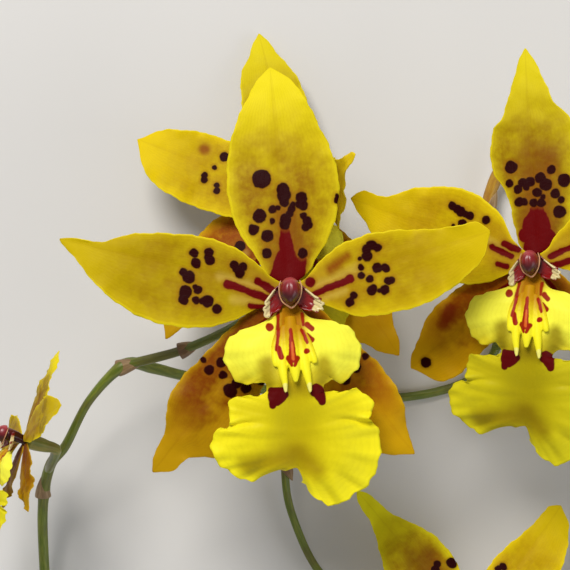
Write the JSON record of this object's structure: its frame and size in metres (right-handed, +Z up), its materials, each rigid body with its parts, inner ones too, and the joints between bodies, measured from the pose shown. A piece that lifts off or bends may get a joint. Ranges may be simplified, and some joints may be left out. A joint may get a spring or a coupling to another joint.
{
  "type": "cut orchid spray",
  "caption": "Cut orchid spray: yellow, maroon-spotted star-shaped blooms with two-lobed lips on one branched green stem, lying on a table with the blooms looking up.",
  "frame": {"origin": "middle of the foot of the spray's box, on the surface it lies on", "axes": "+Z up from the surface, the way the blooms look; +Y along the upper sepal of the front bloom; the stem's cut end lies towards -Y"},
  "size_m": [0.1444, 0.1616, 0.0594],
  "materials": {
    "yellow_petal": "satin waxy petal, saturated yellow with an ochre flush and maroon spots at its base",
    "flushed_sepal": "satin waxy sepal, yellow flushed with orange brown",
    "lemon_lip": "satin lemon-yellow lip with two dark red blotches and a streaked crest",
    "maroon_column": "glossy maroon column with cream toothed wings",
    "crimson_cap": "glossy crimson dome",
    "green_stem": "satin green stem, brownish at its scale leaves and ovaries"
  },
  "bodies": {
    "root": {"flower_stem": "green_stem", "front_dorsal_sepal": "yellow_petal", "front_petal_left": "yellow_petal", "front_petal_right": "yellow_petal", "front_sepal_left": "flushed_sepal", "front_sepal_right": "flushed_sepal", "front_lip": "lemon_lip", "front_column": "maroon_column", "front_anther_cap": "crimson_cap", "right_dorsal_sepal": "yellow_petal", "right_petal_left": "yellow_petal", "right_petal_right": "yellow_petal", "right_sepal_left": "flushed_sepal", "right_sepal_right": "flushed_sepal", "right_lip": "lemon_lip", "right_column": "maroon_column", "right_anther_cap": "crimson_cap", "rear_dorsal_sepal": "yellow_petal", "rear_petal_left": "yellow_petal", "rear_petal_right": "yellow_petal", "rear_sepal_left": "flushed_sepal", "rear_sepal_right": "flushed_sepal", "rear_lip": "lemon_lip", "rear_column": "maroon_column", "rear_anther_cap": "crimson_cap", "left_dorsal_sepal": "yellow_petal", "left_petal_left": "yellow_petal", "left_petal_right": "yellow_petal", "left_sepal_left": "flushed_sepal", "left_sepal_right": "flushed_sepal", "left_lip": "lemon_lip", "left_column": "maroon_column", "left_anther_cap": "crimson_cap", "low_dorsal_sepal": "yellow_petal", "low_petal_left": "yellow_petal", "low_petal_right": "yellow_petal", "low_sepal_left": "flushed_sepal", "low_sepal_right": "flushed_sepal", "low_lip": "lemon_lip", "low_column": "maroon_column", "low_anther_cap": "crimson_cap"}
  },
  "joints": []
}
